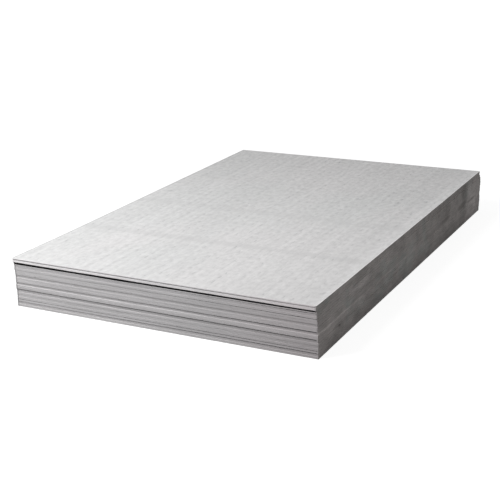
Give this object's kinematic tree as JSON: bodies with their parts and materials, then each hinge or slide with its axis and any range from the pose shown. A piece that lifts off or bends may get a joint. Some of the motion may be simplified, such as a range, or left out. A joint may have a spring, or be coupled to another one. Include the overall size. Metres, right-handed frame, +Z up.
{
  "type": "stack of tile backer boards",
  "caption": "Delivery stack of thin fibre-cement tile backer boards lying flat on each other, slightly out of line, the top ones lifted at one end.",
  "frame": {"origin": "middle of the stack's footprint, on the underside of the lowest board", "axes": "+Y along the boards, towards the far end; +X across them; +Z up through the stack"},
  "size_m": [0.8036, 1.2057, 0.1244],
  "materials": {
    "fibre_cement": "matt pressed cement face, sawn edges"
  },
  "bodies": {
    "root": {"board_01": "fibre_cement", "board_02": "fibre_cement", "board_03": "fibre_cement", "board_04": "fibre_cement", "board_05": "fibre_cement", "board_06": "fibre_cement", "board_07": "fibre_cement", "board_08": "fibre_cement", "board_09": "fibre_cement", "board_10": "fibre_cement", "board_11": "fibre_cement", "board_12": "fibre_cement", "board_13": "fibre_cement", "board_14": "fibre_cement", "board_15": "fibre_cement", "board_16": "fibre_cement", "board_17": "fibre_cement", "board_18": "fibre_cement", "board_19": "fibre_cement", "board_20": "fibre_cement"}
  },
  "joints": []
}
